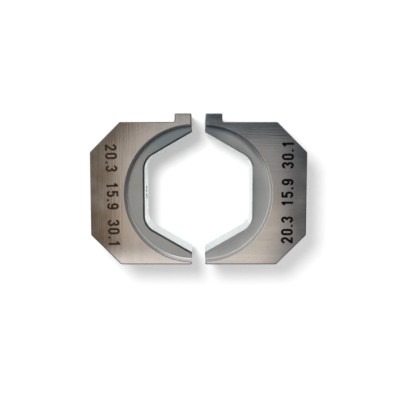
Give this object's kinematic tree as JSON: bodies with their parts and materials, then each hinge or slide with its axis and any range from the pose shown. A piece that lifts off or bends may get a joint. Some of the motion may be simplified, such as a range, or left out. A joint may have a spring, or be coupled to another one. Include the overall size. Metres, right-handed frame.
{
  "type": "hexagonal crimping die set",
  "caption": "Pair of steel crimping die halves with a half-hexagon nest, round relief, chamfered back and retaining tab.",
  "frame": {"origin": "on the crimp axis, midway between the parting faces at rest, in the plane of the faces that the halves lie on", "axes": "+X is the press direction from the head half to the ram half, +Y points toward the retaining tabs, +Z is along the crimp axis, up from the surface the halves lie on"},
  "size_m": [0.0454, 0.0318, 0.0159],
  "materials": {
    "head_steel": "ground, with a warm grey tint",
    "ram_steel": "ground, cool grey"
  },
  "bodies": {
    "head_half": {"die_head": "head_steel"},
    "ram_half": {"die_ram": "ram_steel"}
  },
  "joints": [
    {"name": "press_slide", "type": "slide", "parent": "head_half", "child": "ram_half", "axis": [1, 0, 0], "range_m": [-0.00288, 0.02]}
  ]
}
